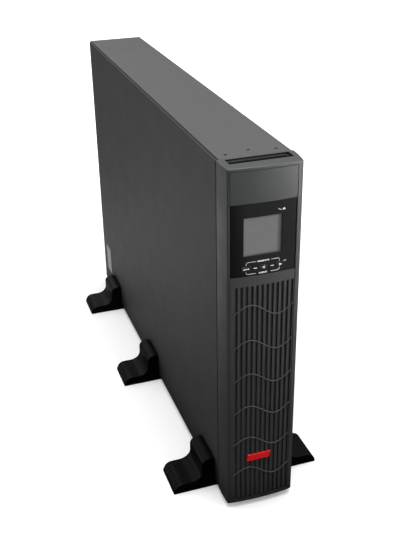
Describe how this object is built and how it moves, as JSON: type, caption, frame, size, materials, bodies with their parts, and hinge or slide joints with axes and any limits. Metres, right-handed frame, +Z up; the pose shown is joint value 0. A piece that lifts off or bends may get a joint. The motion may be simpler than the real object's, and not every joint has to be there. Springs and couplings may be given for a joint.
{
  "type": "uninterruptible power supply",
  "caption": "Slim tower uninterruptible power supply: steel cabinet on clip-on stand feet, with a slotted bezel, pull-out display module, battery pack, fans and rear power sockets.",
  "frame": {"origin": "on the floor, in the middle of the footprint", "axes": "+Z up, +Y to the rear (the bezel faces -Y), +X to the right seen from the front"},
  "size_m": [0.197, 0.67, 0.446],
  "materials": {
    "cabinet_paint": "fine satin powder coat, dark grey",
    "bezel_plastic": "finely textured moulded plastic, dark grey",
    "badge_red": "plain red raised bar",
    "gloss_black": "polished black film",
    "display_grey": "unlit grey liquid crystal display",
    "circuit_board": "green solder mask",
    "ribbon_grey": "flat ribbon insulation",
    "plain_steel": "zinc plated",
    "battery_case": "moulded battery case",
    "red_cable": "cable insulation",
    "heatsink_aluminium": "extruded",
    "capacitor_sleeve": "shrink sleeve",
    "transformer_core": "laminated core",
    "copper_winding": "enamelled copper wire",
    "black_plastic": "moulded black plastic",
    "foot_plastic": "moulded black plastic, ribbed toe",
    "button_white": "reset button",
    "terminal_green": "green terminal block",
    "socket_grey": "battery connector housing",
    "ground_brass": "plated screw",
    "label_grey": "blank adhesive label"
  },
  "bodies": {
    "root": {"battery_1": "battery_case", "battery_2": "battery_case", "battery_3": "battery_case", "battery_4": "battery_case", "battery_5": "battery_case", "battery_6": "battery_case", "battery_door": "cabinet_paint", "battery_harness": "red_cable", "battery_socket": "socket_grey", "battery_tray": "plain_steel", "breaker_body": "black_plastic", "capacitor_1": "capacitor_sleeve", "capacitor_2": "capacitor_sleeve", "charger_board": "circuit_board", "chassis": "cabinet_paint", "cover": "cabinet_paint", "door_screw_1": "plain_steel", "door_screw_2": "plain_steel", "epo_connector": "terminal_green", "fan_frame_1": "black_plastic", "fan_frame_2": "black_plastic", "fan_guard_1": "plain_steel", "fan_guard_2": "plain_steel", "foot_front_left": "foot_plastic", "foot_front_right": "foot_plastic", "foot_middle_left": "foot_plastic", "foot_middle_right": "foot_plastic", "foot_rear_left": "foot_plastic", "foot_rear_right": "foot_plastic", "front_plate": "cabinet_paint", "ground_screw": "ground_brass", "heatsink_lower": "heatsink_aluminium", "heatsink_upper": "heatsink_aluminium", "inductor": "copper_winding", "inlet": "black_plastic", "network_ports": "black_plastic", "outlet_1": "black_plastic", "outlet_2": "black_plastic", "outlet_3": "black_plastic", "outlet_4": "black_plastic", "power_board": "circuit_board", "rear_panel": "cabinet_paint", "serial_port": "plain_steel", "side_label": "label_grey", "slot_cover": "cabinet_paint", "transformer": "transformer_core", "usb_port": "plain_steel"},
    "bezel": {"bezel": "bezel_plastic", "badge": "badge_red"},
    "lcd_module": {"lcd_housing": "gloss_black", "lcd_window": "display_grey", "lcd_board": "circuit_board", "ribbon_cable": "ribbon_grey"},
    "key_select": {"key_select": "gloss_black"},
    "key_back": {"key_back": "gloss_black"},
    "key_next": {"key_next": "gloss_black"},
    "fan_rotor_1": {"fan_rotor_1": "black_plastic"},
    "fan_rotor_2": {"fan_rotor_2": "black_plastic"},
    "breaker_button": {"breaker_button": "button_white"}
  },
  "joints": [
    {"name": "bezel_pull", "type": "slide", "parent": "root", "child": "bezel", "axis": [0, -1, 0], "range_m": [0, 0.06]},
    {"name": "lcd_pull", "type": "slide", "parent": "bezel", "child": "lcd_module", "axis": [0, -1, 0], "range_m": [0, 0.015]},
    {"name": "key_select_press", "type": "slide", "parent": "lcd_module", "child": "key_select", "axis": [0, 1, 0], "range_m": [0, 0.0006]},
    {"name": "key_back_press", "type": "slide", "parent": "lcd_module", "child": "key_back", "axis": [0, 1, 0], "range_m": [0, 0.0006]},
    {"name": "key_next_press", "type": "slide", "parent": "lcd_module", "child": "key_next", "axis": [0, 1, 0], "range_m": [0, 0.0006]},
    {"name": "fan_1_spin", "type": "hinge", "parent": "root", "child": "fan_rotor_1", "pos_m": [0.001, 0.31, 0.397], "axis": [0, 1, 0], "continuous": true},
    {"name": "fan_2_spin", "type": "hinge", "parent": "root", "child": "fan_rotor_2", "pos_m": [0.001, 0.31, 0.312], "axis": [0, 1, 0], "continuous": true},
    {"name": "breaker_pop", "type": "slide", "parent": "root", "child": "breaker_button", "axis": [0, 1, 0], "range_m": [0, 0.003]}
  ]
}
